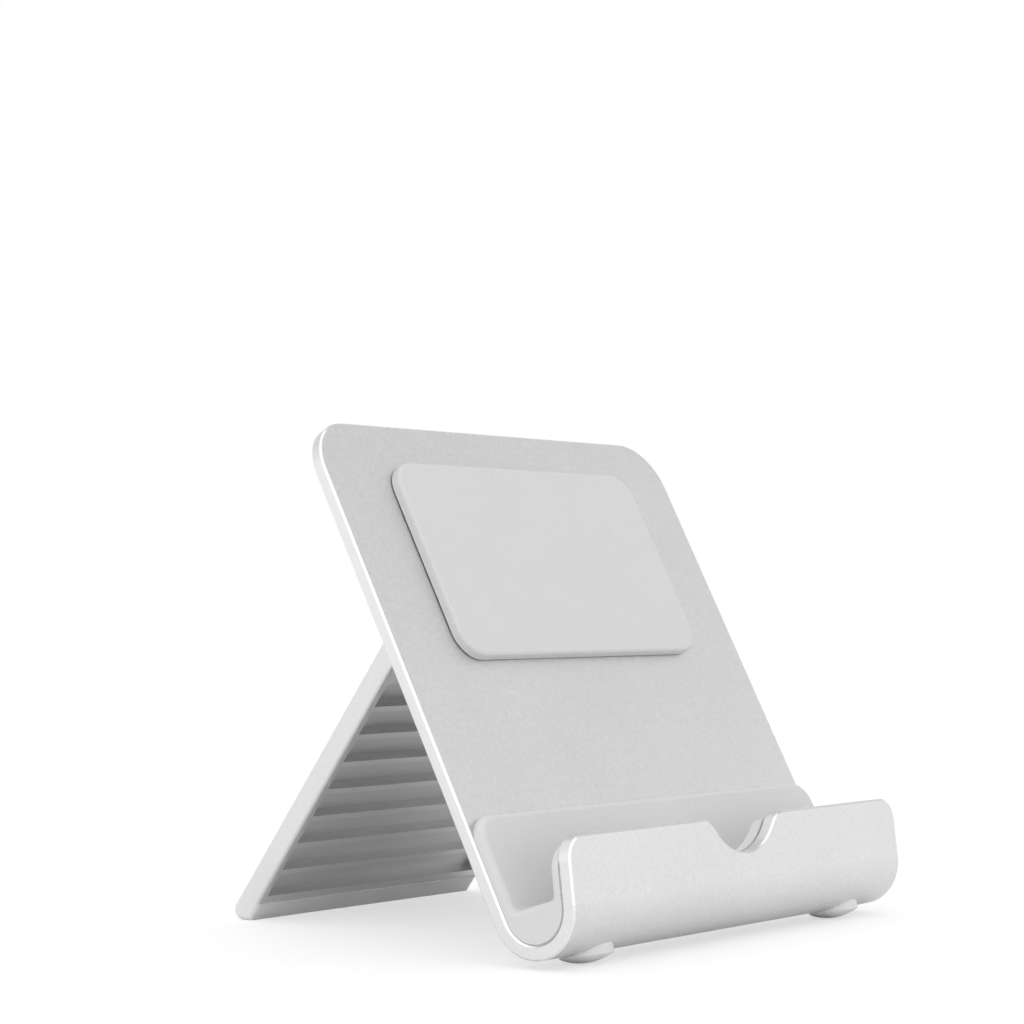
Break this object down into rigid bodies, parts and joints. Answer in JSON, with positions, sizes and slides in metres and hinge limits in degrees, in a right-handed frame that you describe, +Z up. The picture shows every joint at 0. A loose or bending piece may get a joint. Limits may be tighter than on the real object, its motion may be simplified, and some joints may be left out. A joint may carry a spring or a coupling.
{
  "type": "tablet stand",
  "caption": "Folding desk stand for a tablet: lined J-shaped plate with a cable notch, and a ribbed support leg on a friction hinge behind it.",
  "frame": {"origin": "centre of the stand's footprint box on the floor, standing open as in use", "axes": "+X along the hook, to the right as seen from the tablet's front; +Y to the back, from hook to leg; +Z up"},
  "size_m": [0.0954, 0.0874, 0.0844],
  "materials": {
    "plate_metal": "fine bead-blasted and clear anodised, satin; polished rim bevel",
    "leg_metal": "fine bead-blasted and clear anodised, satin",
    "liner_silicone": "light grey matt silicone",
    "foot_rubber": "pale grey matt moulded rubber",
    "adhesive_film": "thin double-sided film, only its edge shows",
    "bracket_metal": "machined, satin anodised",
    "screw_steel": "stainless steel",
    "pin_steel": "ground steel",
    "bush_bronze": "sintered bearing bronze",
    "cap_plastic": "light grey matt plastic"
  },
  "bodies": {
    "stand": {"back_plate": "plate_metal", "hook_liner": "liner_silicone", "liner_film": "adhesive_film", "pad_film": "adhesive_film", "rest_pad": "liner_silicone", "front_foot_left": "foot_rubber", "front_foot_right": "foot_rubber", "rear_bumpers": "foot_rubber", "hinge_bracket": "bracket_metal", "hinge_bush_left": "bush_bronze", "hinge_bush_right": "bush_bronze", "bracket_screws": "screw_steel"},
    "leg": {"support_leg": "leg_metal", "leg_foot": "foot_rubber", "hinge_pin": "pin_steel", "thrust_washers": "pin_steel", "disc_springs": "pin_steel", "friction_washers": "bush_bronze", "hinge_cap_left": "cap_plastic", "hinge_cap_right": "cap_plastic"}
  },
  "joints": [
    {"name": "leg_hinge", "type": "hinge", "parent": "stand", "child": "leg", "pos_m": [0, 0.00305, 0.05438], "axis": [1, 0, 0], "range_deg": [-64, 35]}
  ]
}
